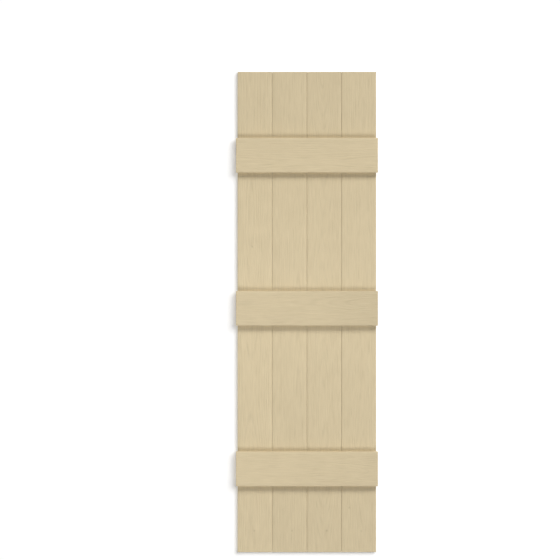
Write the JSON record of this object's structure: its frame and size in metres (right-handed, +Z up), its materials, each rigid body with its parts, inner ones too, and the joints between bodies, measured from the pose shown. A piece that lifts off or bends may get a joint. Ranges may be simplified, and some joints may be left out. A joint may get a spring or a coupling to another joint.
{
  "type": "board and batten shutter",
  "caption": "Fixed exterior window shutter of upright wood-grained boards set side by side and held by level battens across the front, with an open ribbed back that lies flat on a wall.",
  "frame": {"origin": "middle of the shutter's back, on the plane that lies against the wall", "axes": "+Z up along the boards, +X to the right as seen from the front, +Y into the wall, so the front looks along -Y"},
  "size_m": [0.352, 0.0254, 1.1938],
  "materials": {
    "vinyl": "moulded-in tan colour with a fine embossed wood grain and a low sheen"
  },
  "bodies": {
    "root": {"board_outer_left": "vinyl", "board_inner_left": "vinyl", "board_inner_right": "vinyl", "board_outer_right": "vinyl", "batten_top": "vinyl", "batten_middle": "vinyl", "batten_bottom": "vinyl"}
  },
  "joints": []
}
